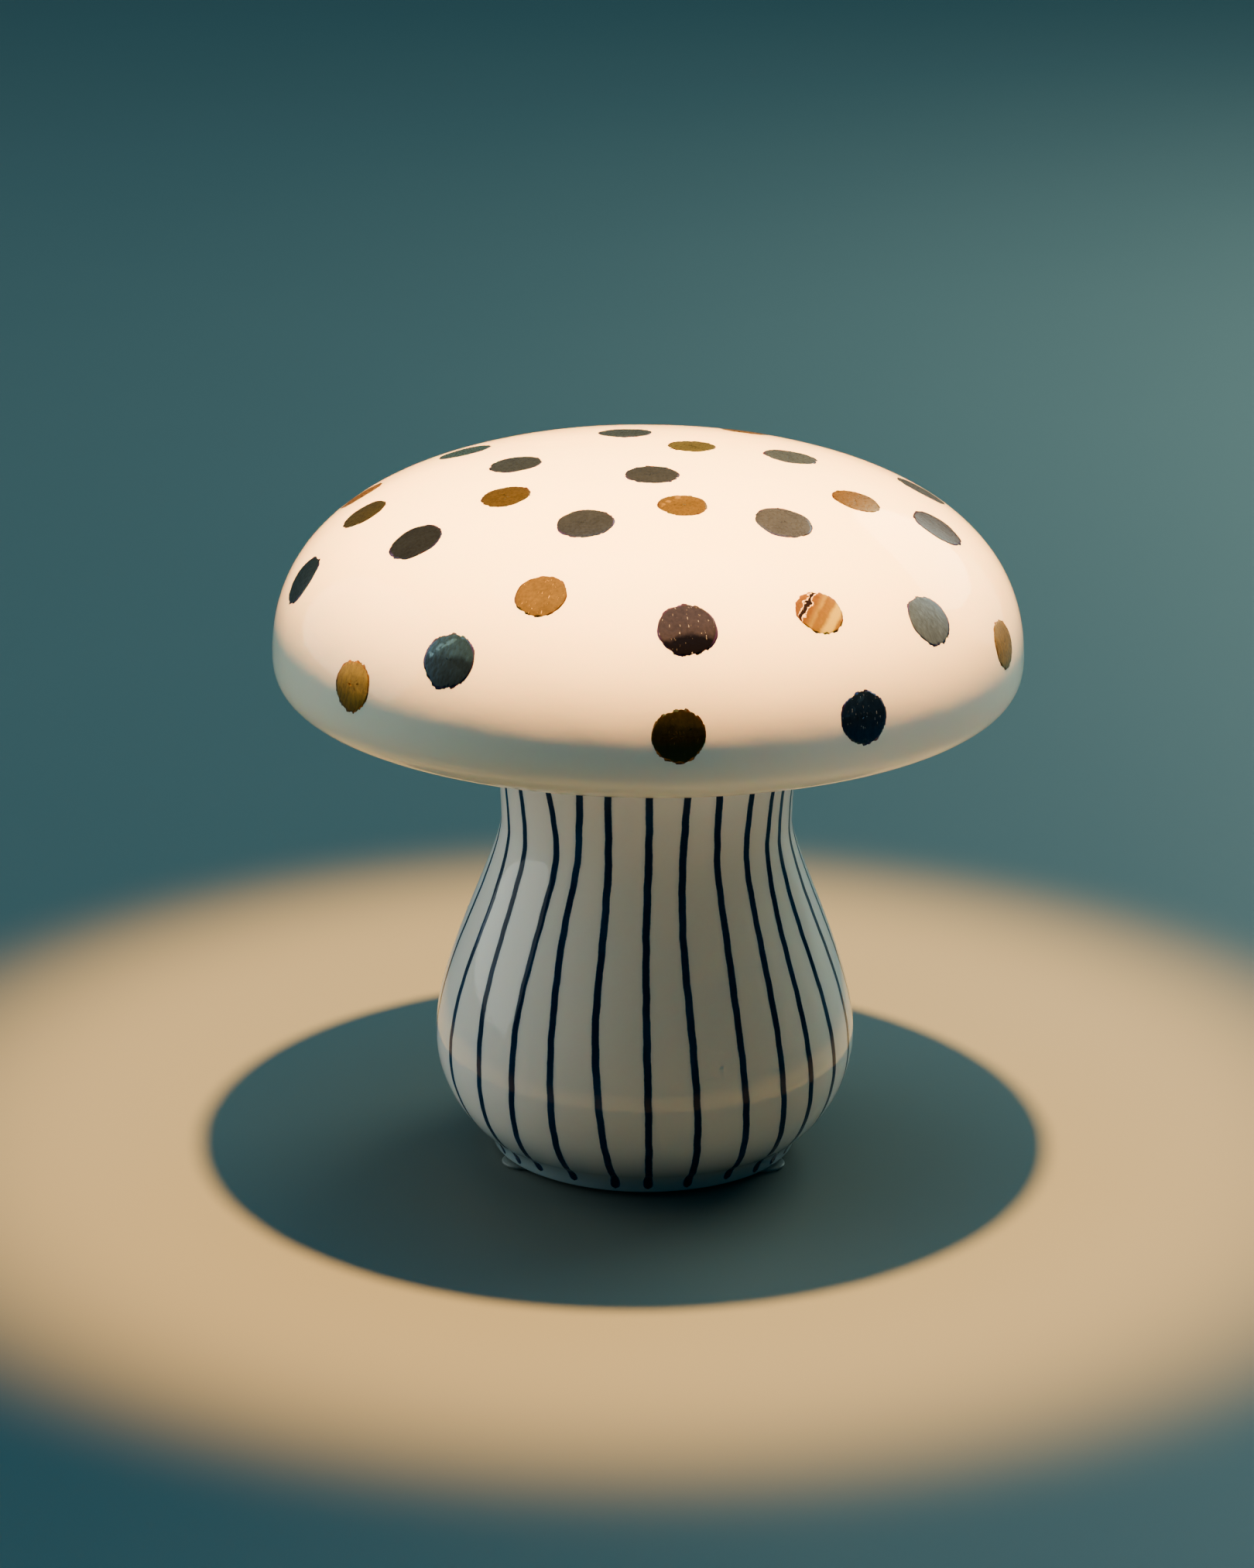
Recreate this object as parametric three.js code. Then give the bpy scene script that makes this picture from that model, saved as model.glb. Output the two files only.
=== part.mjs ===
// Mushroom ornament in glazed ceramic: a hollow domed cap that drops into the mouth of a hollow stem.
// Millimetres, +Z up. The origin is on the surface the ornament stands on, on the stem's axis.

import * as THREE from "three";

// Resolution: steps round each turned form, and points along each curve of its outer and inner outlines
const TURN_STEPS = 64;
const PAD_STEPS = 20;
const OUTER_STEPS = { long: 12, short: 7, small: 3 };
const INNER_STEPS = { long: 6, short: 4, small: 2 };
const ROUND_STEPS = 3;

// Foot pads: clear domed pads stuck under the foot ring
const PAD_COUNT = 3;
const PAD_RADIUS = 5;
const PAD_THICKNESS = 1.2;
const PAD_TAPER = 0.8;
const PAD_INSET = 3.4;
const PAD_FIRST_ANGLE = 90;
const ADHESIVE_GAP = 0.15;

// Stem: outline from the foot ring to the mouth, heights counted from the foot ring's lower face
const STEM_HEIGHT = 112.9;
const STEM_WALL = 4.5;
const FOOT_RADIUS = 37.6;
const FOOT_RING_WIDTH = 9;
const FOOT_ROLL = 1.8;
const FOOT_RECESS = 2.6;
const STEM_FLOOR = 5;
const SWELL_RADIUS = 51.5;
const SWELL_HEIGHT = 28;
const NECK_RADIUS = 35.5;
const NECK_HEIGHT = 83.4;
const MOUTH_RIM_RADIUS = 38.6;
const MOUTH_RADIUS = 32.8;
const MOUTH_DEPTH = 12;
const RIM_ROUND = 1.6;
const FLOOR_FILLET = 4;

// How far each curve of the stem runs on along its end tangents before it turns
const FOOT_SPREAD = 6;
const FOOT_RISE = 3;
const SWELL_BELOW = 11.4;
const SWELL_ABOVE = 18.2;
const NECK_BELOW = 9.5;
const NECK_ABOVE = 12;
const MOUTH_BELOW = 10;
const MOUTH_LEAN = 1.2;

// Seat ring: soft ring of L section, its flange on the rim and its sleeve inside the mouth
const RING_FLANGE = 1.4;
const RING_SLEEVE = 1.6;
const RING_SLEEVE_DEPTH = 6;
const RING_INSET = 1;
const SEAT_GAP = 0.25;
const SLEEVE_GAP = 0.35;

// Cap: outline, heights counted from the lowest line of its underside
const CAP_RADIUS = 90;
const CAP_WALL = 4.8;
const CAP_CROWN = 48.1;
const CAP_RIM_DROP = 12;
const CAP_LOW_RADIUS = 67;
const CAP_SEAT_RISE = 1.2;
const CAP_SEAT_RADIUS = 41;
const COLLAR_DEPTH = 10;
const COLLAR_GAP = 0.4;
const COLLAR_FILLET = 1.2;

// How far each curve of the cap runs on along its end tangents before it turns
const DOME_UPRIGHT = 27.2;
const DOME_LEVEL = 65.9;
const RIM_UPRIGHT = 7.8;
const RIM_LEVEL = 18.5;

// Radii and heights that follow from the sizes above
const footZ = PAD_THICKNESS + ADHESIVE_GAP;
const mouthZ = footZ + STEM_HEIGHT;
const ringZ = mouthZ + SEAT_GAP;
const capSeatZ = ringZ + RING_FLANGE + SEAT_GAP;
const capLowZ = capSeatZ - CAP_SEAT_RISE;
const capWideZ = capLowZ + CAP_RIM_DROP;
const capTopZ = capWideZ + CAP_CROWN;
const sleeveRadius = MOUTH_RADIUS - SLEEVE_GAP;
const collarRadius = sleeveRadius - RING_SLEEVE - COLLAR_GAP;
const padCircleRadius = FOOT_RADIUS - PAD_INSET;

const point = (r, z) => new THREE.Vector2(r, z);

// Points of a cubic curve through two ends and two handles, without its first point
function curve(start, startHandle, endHandle, end, steps) {
  const path = new THREE.CubicBezierCurve(start, startHandle, endHandle, end);
  return path.getPoints(steps).slice(1);
}

// Points of a quarter-round corner from start to end, whose sides would meet at corner
function rounded(start, corner, end) {
  const path = new THREE.QuadraticBezierCurve(start, corner, end);
  return path.getPoints(ROUND_STEPS);
}

// The same outline moved to its left by a wall's thickness, so that a turned wall keeps that thickness
function offset(outline, wall) {
  return outline.map((here, i) => {
    const before = outline[Math.max(i - 1, 0)];
    const after = outline[Math.min(i + 1, outline.length - 1)];
    const along = after.clone().sub(before).normalize();
    const radius = here.x < 1e-6 ? 0 : here.x - along.y * wall;
    return point(radius, here.y + along.x * wall);
  });
}

// The part of a rising outline above a height, cut exactly at that height
function above(outline, height) {
  const first = outline.findIndex((p) => p.y > height);
  const low = outline[Math.max(first - 1, 0)];
  const high = outline[first];
  const share = (height - low.y) / (high.y - low.y);
  return [low.clone().lerp(high, Math.max(share, 0)), ...outline.slice(first)];
}

// A solid turned about the Z axis from an outline of radius and height that runs up its outer side
function turned(outline, steps) {
  return new THREE.LatheGeometry(outline, steps).rotateX(Math.PI / 2);
}

// Outer side of the stem from the crease over its foot ring, round the swelling and up to the neck
function stemSide(steps) {
  const creaseZ = footZ + 2 * FOOT_ROLL;
  const swellZ = footZ + SWELL_HEIGHT;
  const neckZ = footZ + NECK_HEIGHT;
  const crease = point(FOOT_RADIUS + FOOT_ROLL / 2, creaseZ);
  const swell = point(SWELL_RADIUS, swellZ);
  return [
    crease,
    ...curve(
      crease,
      point(crease.x + FOOT_SPREAD, creaseZ + FOOT_RISE),
      point(SWELL_RADIUS, swellZ - SWELL_BELOW),
      swell,
      steps.short,
    ),
    ...curve(
      swell,
      point(SWELL_RADIUS, swellZ + SWELL_ABOVE),
      point(NECK_RADIUS, neckZ - NECK_BELOW),
      point(NECK_RADIUS, neckZ),
      steps.long,
    ),
  ];
}

function stemOutline() {
  const recessZ = footZ + FOOT_RECESS;
  const recessRadius = FOOT_RADIUS - FOOT_RING_WIDTH;
  const floorZ = recessZ + STEM_FLOOR;
  const neckZ = footZ + NECK_HEIGHT;
  const side = stemSide(OUTER_STEPS);
  const neck = side[side.length - 1];
  const rim = point(MOUTH_RIM_RADIUS, mouthZ - RIM_ROUND);

  const footRoll = rounded(
    point(FOOT_RADIUS, footZ),
    point(FOOT_RADIUS + 2 * FOOT_ROLL, footZ + FOOT_ROLL),
    side[0],
  ).slice(0, -1);
  const flare = curve(
    neck,
    point(NECK_RADIUS, neckZ + NECK_ABOVE),
    point(MOUTH_RIM_RADIUS - MOUTH_LEAN, rim.y - MOUTH_BELOW),
    rim,
    OUTER_STEPS.short,
  );
  const rimRound = [
    ...rounded(rim, point(rim.x, mouthZ), point(rim.x - RIM_ROUND, mouthZ)).slice(1),
    ...rounded(
      point(MOUTH_RADIUS + RIM_ROUND, mouthZ),
      point(MOUTH_RADIUS, mouthZ),
      point(MOUTH_RADIUS, mouthZ - RIM_ROUND),
    ),
  ];
  const inside = above(offset(stemSide(INNER_STEPS), STEM_WALL), floorZ + FLOOR_FILLET).reverse();
  const corner = inside[inside.length - 1];

  return [
    point(0, recessZ),
    point(recessRadius - FOOT_ROLL / 2, recessZ),
    point(recessRadius, recessZ - FOOT_ROLL / 2),
    point(recessRadius, footZ),
    ...footRoll,
    ...side,
    ...flare,
    ...rimRound,
    point(MOUTH_RADIUS, mouthZ - MOUTH_DEPTH),
    ...inside,
    ...rounded(corner, point(corner.x, floorZ), point(corner.x - FLOOR_FILLET, floorZ)).slice(1),
    point(0, floorZ),
  ];
}

// Outer side of the cap from its top over the rim, in under it and down the locating collar
function capSide(steps) {
  const top = point(0, capTopZ);
  const wide = point(CAP_RADIUS, capWideZ);
  const low = point(CAP_LOW_RADIUS, capLowZ);
  const seatRun = (CAP_LOW_RADIUS - CAP_SEAT_RADIUS) / 3;
  return [
    top,
    ...curve(
      top,
      point(DOME_LEVEL, capTopZ),
      point(CAP_RADIUS, capWideZ + DOME_UPRIGHT),
      wide,
      steps.long,
    ),
    ...curve(
      wide,
      point(CAP_RADIUS, capWideZ - RIM_UPRIGHT),
      point(CAP_LOW_RADIUS + RIM_LEVEL, capLowZ),
      low,
      steps.short,
    ),
    ...curve(
      low,
      point(CAP_LOW_RADIUS - seatRun, capLowZ),
      point(CAP_SEAT_RADIUS + seatRun, capSeatZ),
      point(CAP_SEAT_RADIUS, capSeatZ),
      steps.small,
    ),
    ...rounded(
      point(collarRadius + COLLAR_FILLET, capSeatZ),
      point(collarRadius, capSeatZ),
      point(collarRadius, capSeatZ - COLLAR_FILLET),
    ),
    point(collarRadius, capSeatZ - COLLAR_DEPTH + CAP_WALL / 2),
  ];
}

function capOutline() {
  const collarEndZ = capSeatZ - COLLAR_DEPTH;
  const outside = capSide(OUTER_STEPS);
  const inside = offset(capSide(INNER_STEPS), -CAP_WALL).reverse();
  const outerLip = outside[outside.length - 1];
  const innerLip = inside[0];
  const lipMiddle = point((outerLip.x + innerLip.x) / 2, collarEndZ);
  return [
    ...outside,
    ...rounded(outerLip, point(outerLip.x, collarEndZ), lipMiddle).slice(1),
    ...rounded(lipMiddle, point(innerLip.x, collarEndZ), innerLip).slice(1, -1),
    ...inside,
  ].reverse();
}

function ringOutline() {
  const flangeRadius = MOUTH_RIM_RADIUS - RING_INSET;
  const innerRadius = sleeveRadius - RING_SLEEVE;
  const flangeTopZ = ringZ + RING_FLANGE;
  const sleeveEndZ = ringZ - RING_SLEEVE_DEPTH;
  return [
    point(innerRadius, sleeveEndZ),
    point(sleeveRadius - RING_SLEEVE / 4, sleeveEndZ),
    point(sleeveRadius, sleeveEndZ + RING_SLEEVE / 2),
    point(sleeveRadius, ringZ),
    point(flangeRadius, ringZ),
    point(flangeRadius, flangeTopZ - RING_FLANGE / 3),
    point(flangeRadius - RING_FLANGE / 3, flangeTopZ),
    point(innerRadius + RING_FLANGE / 3, flangeTopZ),
    point(innerRadius, flangeTopZ - RING_FLANGE / 3),
    point(innerRadius, sleeveEndZ),
  ];
}

function padOutline() {
  const flatRadius = PAD_RADIUS - 2 * PAD_TAPER;
  return [
    point(0, 0),
    point(flatRadius, 0),
    ...rounded(
      point(flatRadius, 0),
      point(PAD_RADIUS - PAD_TAPER / 2, 0),
      point(PAD_RADIUS, PAD_THICKNESS),
    ).slice(1),
    point(0, PAD_THICKNESS),
  ];
}

const glaze = new THREE.MeshStandardMaterial({ color: 0xf2ece0, roughness: 0.12, metalness: 0 });
const silicone = new THREE.MeshStandardMaterial({ color: 0xd8d6cc, roughness: 0.55, metalness: 0 });
const clearPad = new THREE.MeshStandardMaterial({ color: 0xcfd8d6, roughness: 0.25, metalness: 0 });

function piece(name, geometry, material) {
  const mesh = new THREE.Mesh(geometry, material);
  mesh.name = name;
  return mesh;
}

const ornament = new THREE.Group();

ornament.add(piece("stem", turned(stemOutline(), TURN_STEPS), glaze));
ornament.add(piece("seat_ring", turned(ringOutline(), TURN_STEPS), silicone));
ornament.add(piece("cap", turned(capOutline(), TURN_STEPS), glaze));

for (let i = 0; i < PAD_COUNT; i++) {
  const angle = THREE.MathUtils.degToRad(PAD_FIRST_ANGLE + (360 / PAD_COUNT) * i);
  const pad = piece("foot_pad_" + (i + 1), turned(padOutline(), PAD_STEPS), clearPad);
  pad.position.set(padCircleRadius * Math.cos(angle), padCircleRadius * Math.sin(angle), 0);
  ornament.add(pad);
}

export default ornament;
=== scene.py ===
# Mushroom ornament in glazed ceramic: a dotted cap on a striped stem, with its seat ring and foot pads.
# Metres, +Z up. Azimuths are counted from -Y, the side that the camera sees, towards +X.

import math
from typing import NamedTuple

import bpy
import numpy as np
from mathutils import Matrix, Vector


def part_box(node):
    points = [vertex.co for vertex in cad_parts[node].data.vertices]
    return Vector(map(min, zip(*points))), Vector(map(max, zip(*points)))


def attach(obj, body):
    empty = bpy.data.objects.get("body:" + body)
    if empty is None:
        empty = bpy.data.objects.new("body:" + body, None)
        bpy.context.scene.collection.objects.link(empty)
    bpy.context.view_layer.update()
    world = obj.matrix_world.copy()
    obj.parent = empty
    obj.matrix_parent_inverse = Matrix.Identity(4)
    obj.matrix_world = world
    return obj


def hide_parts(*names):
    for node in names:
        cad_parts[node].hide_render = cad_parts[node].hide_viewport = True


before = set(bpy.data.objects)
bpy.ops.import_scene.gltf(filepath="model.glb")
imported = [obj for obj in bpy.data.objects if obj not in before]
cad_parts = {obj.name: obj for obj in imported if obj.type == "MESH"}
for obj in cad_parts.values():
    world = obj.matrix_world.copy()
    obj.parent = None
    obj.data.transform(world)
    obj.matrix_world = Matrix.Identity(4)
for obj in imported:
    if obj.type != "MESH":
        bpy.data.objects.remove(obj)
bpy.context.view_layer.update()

MM = 0.001
TURN = 2 * math.pi

# Camera: where it stands, how it is turned, and its lens on a sensor that is 36 mm along the longer side
CAMERA_PLACE = (-0.0003, -1.0655, 0.4512)
CAMERA_DOWN = math.radians(18.61)
CAMERA_ASIDE = math.radians(-0.24)
CAMERA_ROLL = math.radians(0.43)
CAMERA_LENS = 106.67
CAMERA_SENSOR = 36
CAMERA_REACH = 20

# Floor, and the sky over it
FLOOR_COLOUR, FLOOR_CLOUD = (0.108, 0.136, 0.128), (0.114, 0.143, 0.134)
FLOOR_REACH = 40
SKY_COLOUR = (0.02, 0.48, 0.72)
SKY_STRENGTH = 0.12

# Spots: a small warm key overhead, and low warm bounces from the front and the right
BOUNCE_COLOUR = (1.0, 0.9, 0.85)
SPOTS = {
    "overhead": dict(
        place=(0.0294, -0.0206, 0.89), faces=(0, 0.01, 0), power=262, colour=(1.24, 0.54, 0.127),
        radius=0.021, cone=math.radians(27), blend=0.55,
    ),
    "bounce": dict(
        place=(0, -0.6, 0.02), faces=(0, 0, 0.117), power=3.0, colour=BOUNCE_COLOUR,
        radius=0.1, cone=math.radians(15), blend=1.0,
    ),
    "side_bounce": dict(
        place=(0.6, -0.25, 0.02), faces=(0.078, -0.015, 0.126), power=36, colour=BOUNCE_COLOUR,
        radius=0.1, cone=math.radians(8), blend=1.0,
    ),
}

# Soft lights: a broad cool ceiling, a panel at the left, a fill at the right, a dim one on the floor behind
SOFT_LIGHTS = {
    "ceiling": dict(
        place=(0, 0.3, 2.6), faces=(0, 0.3, 0), power=21, colour=(0.02, 0.95, 1.5), size=2.6
    ),
    "panel": dict(
        place=(-2.4, 0.6, 0.8), faces=(0, 0, 0.05), power=42, colour=(0.85, 0.92, 0.84), size=2.8
    ),
    "fill": dict(
        place=(1.5, 1.4, 0.6), faces=(0, 0, 0.1), power=4, colour=(0.75, 0.95, 0.88), size=1.2
    ),
    "backdrop": dict(
        place=(0.7, 0.8, 0.6), faces=(0.65, 0.75, 0), power=9, colour=(0.75, 0.95, 0.8), size=0.8
    ),
}

# Levels and radii that the CAD parts in model.glb give
stem_low, stem_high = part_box("stem")
cap_low, cap_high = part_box("cap")
ring_low, ring_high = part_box("seat_ring")
FOOT_Z = stem_low.z
MOUTH_Z = stem_high.z
SWELL_RADIUS = stem_high.x
COLLAR_Z = cap_low.z
CAP_RADIUS = cap_high.x
CAP_TOP_Z = cap_high.z

# Stem, counted from the foot ring's lower face
STEM_WALL = 4.5 * MM
FOOT_RADIUS = 37.6 * MM
FOOT_RING_WIDTH = 9 * MM
FOOT_ROLL = 1.8 * MM
FOOT_RECESS = 2.6 * MM
STEM_FLOOR = 5 * MM
FLOOR_FILLET = 4 * MM
SWELL_Z = FOOT_Z + 28 * MM
NECK_RADIUS = 35.5 * MM
NECK_Z = FOOT_Z + 83.4 * MM
MOUTH_RIM_RADIUS = 38.6 * MM
MOUTH_RADIUS = 32.8 * MM
MOUTH_DEPTH = 12 * MM
RIM_ROUND = 1.6 * MM
CREASE_REACH = 3.2 * MM

# Handles of the curves of the stem's side: how far from the curve's ends they lie
FOOT_SPREAD, FOOT_RISE = 6 * MM, 3 * MM
SWELL_BELOW, SWELL_ABOVE = 11.4 * MM, 18.2 * MM
NECK_BELOW, NECK_ABOVE = 9.5 * MM, 12 * MM
MOUTH_BELOW, MOUTH_LEAN = 10 * MM, 1.2 * MM

# Cap, counted from the collar's lower end. Its underside runs level out to SEAT_RADIUS, sinks a little up to
# LOW_RADIUS and rounds the rim to its widest line. The last four are handles of the rim and of the dome.
CAP_WALL = 4.8 * MM
COLLAR_RADIUS = 30.45 * MM
COLLAR_DEPTH = 10 * MM
COLLAR_FILLET = 1.2 * MM
SEAT_Z = COLLAR_Z + COLLAR_DEPTH
SEAT_RADIUS = 41 * MM
LOW_RADIUS = 67 * MM
LOW_Z = SEAT_Z - 1.2 * MM
WIDE_Z = LOW_Z + 12 * MM
RIM_LEVEL, RIM_UPRIGHT = 18.5 * MM, 7.8 * MM
DOME_UPRIGHT, DOME_LEVEL = 27.2 * MM, 65.9 * MM

# Seat ring: its gaps to the stem's rim, to the mouth and to the collar, and the round of its edges
SEAT_GAP = 0.25 * MM
SLEEVE_GAP = 0.35 * MM
COLLAR_GAP = 0.4 * MM
RING_ROUND = 0.5 * MM

# Foot pads: how far the flat faces stay inside the widest edge, how high that is as a share of the pad's
# thickness, and the first ring round the pad's middle
PAD_UNDERCUT = 1.6 * MM
PAD_SHOULDER = 1.2 * MM
PAD_WIDEST = 0.6
PAD_MIDDLE = 0.4 * MM

# Skin of the glazed clay: how far it stays inside the true form, how uneven it is, and its two patterns.
# Each is a product of two plane waves, by their radians per metre along x, y and z and by their start.
GLAZE_INSET = 0.1 * MM
UNEVEN = 0.16 * MM
SLOW_SHARE, SLOW_WAVES = 0.36, (((47, 0, 23), 1.3), ((0, 39, -31), 0.4))
QUICK_SHARE, QUICK_WAVES = 0.14, (((160, -90, 0), 2.1), ((0, 60, 140), 0))

# Lustre dots: how high they stand on the glaze, how far they reach into it, and their rings as shares of the
# radius, out along the underside and back in over the top
DOT_HEIGHT = 0.055 * MM
DOT_EDGE = 0.02 * MM
DOT_SINK = 0.07 * MM
DOT_UNDERSIDE = np.linspace(0.1, 0.985, 4)
DOT_TOP = np.linspace(1, 0.06, 12)

# Edge of a dot: waves round it, how far each swings as a share of the radius, and what full wear adds to it
EDGE_WAVES = (
    (2, 0.014, 0), (3, 0.0154, 0), (5, 0.0105, 0), (7, 0.0084, 0),
    (12, 0.00105, 0.007), (19, 0.0009, 0.006), (31, 0.0009, 0.006),
)

# Painted lines: how high they stand on the glaze, how deep their edge and their middle lie in it, and how
# thin they are at the foot as a share
LINE_HEIGHT = 0.042 * MM
LINE_SINK = 0.02 * MM
LINE_DEPTH = 0.06 * MM
LINE_THIN = 0.15

# The brush: its half width, its round start with a tip and a bulb over it, and how it trembles aside and
# presses wider. The last two are sines by their length over a radian and their share.
LINE_HALF_WIDTH = 1.46 * MM
LINE_START, LINE_TIP = 1.3 * MM, 0.02
BULB_SHARE, BULB_UP, BULB_REACH = 0.28, 2 * MM, 2.236 * MM
TREMBLE, TREMBLE_WAVES = 0.05 * MM, ((1.6 * MM, 1), (0.9 * MM, 0.7))
PRESS, PRESS_WAVES = 0.03, ((6.3 * MM, 1), (2.3 * MM, 0.5))

# Steps along the curves and the flats. The cap's inner wall keeps its last points, those of the bore.
SMALL_STEPS, ROUND_STEPS = 4, 6
ROLL_STEPS, CREASE_STEPS = 16, 8
BELLY_STEPS, SHOULDER_STEPS, FLARE_STEPS, FLOOR_STEPS = 60, 70, 34, 10
COLLAR_STEPS, UNDER_STEPS, RIM_STEPS, DOME_STEPS = 8, 30, 46, 110
PAD_LOW_STEPS, PAD_HIGH_STEPS = 10, 8
BORE_POINTS = 20

# Columns round each piece. The rows of a painted line crowd at its ends by that share.
CAP_COLUMNS, STEM_COLUMNS = 256, 256
RING_COLUMNS, PAD_COLUMNS = 160, 64
DOT_COLUMNS = 128
LINE_COLUMNS, LINE_ROWS, LINE_CROWDING = 16, 150, 0.35

# Points of an outline that are closer than this are one, and so near the axis a point lies on it
TOUCHING = 0.01 * MM

# Seeds of the dots' ragged edges and of the brush's wandering
GOLD_SEED, PLATINUM_SEED, LINE_SEED = 5, 7, 11


def curve(steps, *handles):
    """Points of a curve drawn by its handles, at equal steps: the sum of the handles, each weighted by its
    binomial share. It starts at the first handle and ends at the last."""
    share = np.linspace(0, 1, steps + 1)[:, None]
    order = len(handles) - 1
    return sum(
        math.comb(order, k) * share**k * (1 - share) ** (order - k) * np.array(handle, float)
        for k, handle in enumerate(handles)
    )


def joined(*stretches):
    """One line from stretches that follow on. Of points that touch one stays."""
    line = np.vstack(stretches)
    apart = np.hypot(*np.diff(line, axis=0).T) > TOUCHING
    return line[np.concatenate([[True], apart])]


def softened(before, after, reach, steps):
    """Two lines that meet in a corner, with a quadratic curve in place of what lies within reach of it."""
    corner = before[-1]
    start = before[np.hypot(*(before - corner).T) > reach]
    end = after[np.hypot(*(after - corner).T) > reach]
    return joined(start, curve(steps, start[-1], corner, end[0]), end)


def offset(line, wall):
    """The line moved to its left by a wall's thickness, square to its own tangent."""
    tangent = np.gradient(line, axis=0)
    tangent /= np.hypot(*tangent.T)[:, None]
    moved = line + wall * np.stack([-tangent[:, 1], tangent[:, 0]], axis=1)
    moved[line[:, 0] < TOUCHING, 0] = 0
    return moved


def pattern(points, waves):
    """A product of plane waves, each the sine of its start plus the turn that it makes up to the point."""
    return math.prod(np.sin(points @ np.array(along, float) + start) for along, start in waves)


def waver(points):
    """How far the glazed surface lies outside the true form, always below zero: the inset, and the slow and
    the quick pattern moved below zero."""
    slow, quick = pattern(points, SLOW_WAVES), pattern(points, QUICK_WAVES)
    return -GLAZE_INSET - UNEVEN * (SLOW_SHARE * (1 - slow) + QUICK_SHARE * (1 - quick))


class Outline:
    """The outer line of a turned form, running up its outer side, as points of radius and height."""

    def __init__(self, line):
        self.line = line
        self.arc = np.concatenate([[0], np.cumsum(np.hypot(*np.diff(line, axis=0).T))])
        slope = np.gradient(line, self.arc, axis=0)
        self.slope = slope / np.hypot(*slope.T)[:, None]

    def at(self, arc):
        """Radius, height, run and rise at lengths along the line."""
        return [np.interp(arc, self.arc, values) for values in (*self.line.T, *self.slope.T)]

    def arc_at_height(self, height):
        """Lengths along the line at heights, for a line that climbs all the way."""
        return np.interp(height, self.line[:, 1], self.arc)

    def nearest(self, radius, height):
        """Length along the line of the point nearest to each radius and height: that of the nearest point of
        the line, plus what the tangent there adds."""
        gap = (radius[..., None] - self.line[:, 0]) ** 2 + (height[..., None] - self.line[:, 1]) ** 2
        near = gap.argmin(-1)
        run, rise = self.slope[near].T.reshape(2, *near.shape)
        aside = (radius - self.line[near, 0]) * run + (height - self.line[near, 1]) * rise
        return self.arc[near] + aside

    def place(self, arc, azimuth, lift):
        """Points at a length and an azimuth, lift outside the glazed surface along its normal."""
        radius, height, run, rise = self.at(arc)
        sine, cosine = np.sin(azimuth), np.cos(azimuth)
        true = np.stack(np.broadcast_arrays(radius * sine, -radius * cosine, height), axis=-1)
        outward = np.stack(np.broadcast_arrays(rise * sine, -rise * cosine, -run), axis=-1)
        return true + outward * (lift + waver(true))[..., None]


def solid(name, points, looped=False, **marks):
    """A mesh of closed surfaces from points[surface, row, column]. Faces join neighbours, columns run round,
    and each end row closes in a fan at its mean, or the last row joins the first where the rows are looped.
    Each mark is a number per point, kept as an attribute of the mesh."""
    surfaces, rows, columns = points.shape[:3]
    number = np.arange(surfaces * rows * columns).reshape(surfaces, rows, columns)
    right = np.roll(number, -1, axis=2)
    above = np.roll(number, -1, axis=1)
    above_right = np.roll(right, -1, axis=1)
    faces = np.stack([number, right, above_right, above], axis=-1)
    if not looped:
        faces = faces[:, :-1]
    faces = faces.reshape(-1, 4).tolist()
    vertices = points.reshape(-1, 3)
    values = {mark: np.broadcast_to(value, points.shape[:3]) for mark, value in marks.items()}
    tips = {mark: [value.ravel()] for mark, value in values.items()}
    if not looped:
        first = number.size + np.arange(surfaces)[:, None] + np.zeros((1, columns), int)
        last = first + surfaces
        faces += np.stack([first, right[:, 0], number[:, 0]], axis=-1).reshape(-1, 3).tolist()
        faces += np.stack([number[:, -1], right[:, -1], last], axis=-1).reshape(-1, 3).tolist()
        vertices = np.vstack([vertices, points[:, 0].mean(1), points[:, -1].mean(1)])
        for mark, value in values.items():
            tips[mark] += [value[:, 0].mean(1), value[:, -1].mean(1)]
    mesh = bpy.data.meshes.new(name)
    mesh.from_pydata(vertices.tolist(), [], faces)
    for mark, parts in tips.items():
        mesh.attributes.new(mark, "FLOAT", "POINT").data.foreach_set("value", np.concatenate(parts))
    mesh.polygons.foreach_set("use_smooth", np.ones(len(mesh.polygons), bool))
    mesh.update()
    piece = bpy.data.objects.new(name, mesh)
    bpy.context.scene.collection.objects.link(piece)
    return piece


def glazed_form(name, line, columns):
    """A turned form with an uneven skin: its line carried round the axis, each point placed at its azimuth.
    The points on the axis are left to the fans that close the ends."""
    outline = Outline(line)
    azimuth = np.linspace(0, TURN, columns, endpoint=False)
    arc = outline.arc[line[:, 0] > TOUCHING]
    return solid(name, outline.place(arc[:, None], azimuth, 0)[None])


def true_form(line, columns, middle=(0, 0)):
    """Points of a turned form with an even skin: the line's radius and height at equal azimuths."""
    azimuth = np.linspace(0, TURN, columns, endpoint=False)
    radius, height = line[:, :1], line[:, 1:]
    x = middle[0] + radius * np.sin(azimuth)
    y = middle[1] - radius * np.cos(azimuth)
    return np.stack(np.broadcast_arrays(x, y, height), axis=-1)[None]


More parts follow.
